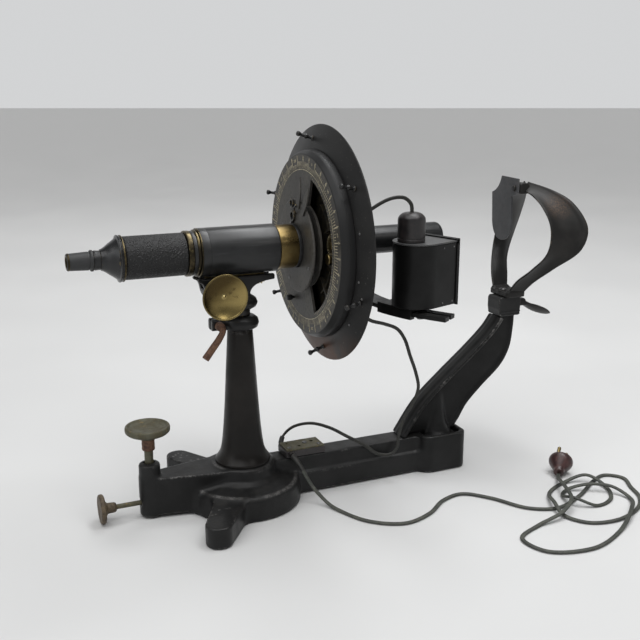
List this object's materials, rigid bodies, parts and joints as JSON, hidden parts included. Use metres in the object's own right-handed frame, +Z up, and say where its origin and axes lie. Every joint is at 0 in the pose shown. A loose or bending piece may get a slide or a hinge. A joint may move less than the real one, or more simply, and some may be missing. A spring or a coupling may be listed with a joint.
{
  "type": "ophthalmometer",
  "caption": "Antique table ophthalmometer: a telescope through a graduated disc on a cast-iron stand, with a lamp house behind the disc and a face rest at the far end.",
  "frame": {"origin": "on the column's axis at table level", "axes": "+X along the rail from the observer to the patient, +Y away from the lamp side, +Z up"},
  "size_m": [0.6582, 0.4191, 0.4495],
  "materials": {
    "japan": "worn satin black japan",
    "satin_black": "satin black lacquer",
    "leatherette": "pebbled black grip",
    "aged_brass": "aged lacquered brass",
    "bright_brass": "polished lacquered brass",
    "green_brass": "tarnished, greenish brass",
    "rusty_steel": "rusty brown steel",
    "glass": "clear",
    "bakelite": "dark maroon-brown bakelite",
    "rubber": "dull olive grey-green rubber"
  },
  "bodies": {
    "base": {"base_casting": "japan", "column": "japan", "clamp_collar": "japan", "terminal_block": "bakelite", "terminal_plate": "green_brass", "headrest_arm": "japan", "clamp_block": "japan", "face_frame": "japan", "chin_rest": "japan", "occluder_pin": "aged_brass", "lamp_lead": "rubber", "mains_lead": "rubber", "mains_plug": "bakelite"},
    "clamp_lever": {"clamp_lever": "rusty_steel"},
    "lock_screw": {"lock_screw": "green_brass"},
    "levelling_foot": {"levelling_foot": "rusty_steel"},
    "levelling_screw": {"levelling_screw": "green_brass"},
    "clamp_screw": {"clamp_screw": "aged_brass"},
    "post": {"swivel_post": "satin_black"},
    "saddle": {"saddle": "japan"},
    "focus_knobs": {"pinion_shaft": "aged_brass", "focus_knob": "aged_brass", "pinion_cap": "aged_brass"},
    "telescope": {"main_barrel": "satin_black", "focus_rack": "aged_brass", "rear_collar": "aged_brass", "brass_sleeve": "bright_brass", "inner_disc": "satin_black", "pointer_left": "satin_black", "pointer_right": "satin_black", "objective_tube": "satin_black", "objective_lens": "glass", "doubling_prism": "glass"},
    "draw_tube": {"draw_tube": "leatherette", "bell_flange": "satin_black", "field_lens": "glass"},
    "eyepiece": {"eyepiece_tube": "satin_black", "eyecup": "satin_black", "eye_lens": "glass"},
    "disc": {"dial_plate": "satin_black", "cone_disc": "japan", "peg_1": "japan", "peg_2": "japan", "peg_3": "japan", "peg_4": "japan", "peg_5": "japan", "peg_6": "japan", "arm_bracket": "japan", "arc_arm": "japan"},
    "scale_wheel": {"scale_wheel": "aged_brass"},
    "setting_knob": {"setting_knob": "japan"},
    "lamp": {"lamp_carriage": "japan", "lamp_house": "japan", "lamp_lid": "satin_black", "mire_glass": "glass", "mire_frame": "japan", "socket_cap": "bakelite", "bulb": "glass"},
    "occluder": {"occluder": "satin_black"}
  },
  "joints": [
    {"name": "lever_turn", "type": "hinge", "parent": "base", "child": "clamp_lever", "pos_m": [-0.028, 0, 0.224], "axis": [0, 1, 0], "range_deg": [-25, 45]},
    {"name": "lock_turn", "type": "hinge", "parent": "base", "child": "lock_screw", "pos_m": [-0.17, 0, 0.0178], "axis": [1, 0, 0], "range_deg": [-180, 180]},
    {"name": "foot_rise", "type": "slide", "parent": "base", "child": "levelling_foot", "axis": [0, 0, 1], "range_m": [0, 0.004]},
    {"name": "levelling_turn", "type": "hinge", "parent": "levelling_foot", "child": "levelling_screw", "pos_m": [-0.115, 0, 0.05], "axis": [0, 0, 1], "range_deg": [0, 955]},
    {"name": "clamp_screw_turn", "type": "hinge", "parent": "base", "child": "clamp_screw", "pos_m": [0.368, 0, 0.225], "axis": [0, 0, 1], "range_deg": [-180, 180]},
    {"name": "post_rise", "type": "slide", "parent": "base", "child": "post", "axis": [0, 0, 1], "range_m": [0, 0.022]},
    {"name": "swivel", "type": "hinge", "parent": "post", "child": "saddle", "pos_m": [0, 0, 0.25], "axis": [0, 0, 1], "range_deg": [-20, 20]},
    {"name": "focus_turn", "type": "hinge", "parent": "saddle", "child": "focus_knobs", "pos_m": [-0.028, 0, 0.2635], "axis": [0, 1, 0], "range_deg": [-185, 72]},
    {"name": "telescope_slide", "type": "slide", "parent": "saddle", "child": "telescope", "axis": [1, 0, 0], "range_m": [-0.018, 0.007]},
    {"name": "draw_slide", "type": "slide", "parent": "telescope", "child": "draw_tube", "axis": [-1, 0, 0], "range_m": [0, 0.012]},
    {"name": "eyepiece_slide", "type": "slide", "parent": "draw_tube", "child": "eyepiece", "axis": [-1, 0, 0], "range_m": [0, 0.005]},
    {"name": "disc_turn", "type": "hinge", "parent": "telescope", "child": "disc", "pos_m": [0.1, 0, 0.3095], "axis": [1, 0, 0], "range_deg": [-90, 90], "deforming": ["lamp_lead"]},
    {"name": "wheel_turn", "type": "hinge", "parent": "disc", "child": "scale_wheel", "pos_m": [0.09, -0.066, 0.3185], "axis": [1, 0, 0], "range_deg": [-80, 180]},
    {"name": "setting_turn", "type": "hinge", "parent": "disc", "child": "setting_knob", "pos_m": [0.08, 0.032, 0.2395], "axis": [1, 0, 0], "range_deg": [-82, 184]},
    {"name": "lamp_shift", "type": "hinge", "parent": "disc", "child": "lamp", "pos_m": [0.387, 0, 0.236], "axis": [0, 0, 1], "range_deg": [-4, 9]},
    {"name": "occluder_swing", "type": "hinge", "parent": "base", "child": "occluder", "pos_m": [0.378, 0, 0.363], "axis": [1, 0, 0], "range_deg": [-64, 100]}
  ],
  "couplings": [
    {"joint": "focus_turn", "follows": "telescope_slide", "rad_per_m": 178.57},
    {"joint": "foot_rise", "follows": "levelling_turn", "m_per_rad": 0.00023873},
    {"joint": "setting_turn", "follows": "lamp_shift", "ratio": 20},
    {"joint": "wheel_turn", "follows": "lamp_shift", "ratio": 19.44}
  ]
}
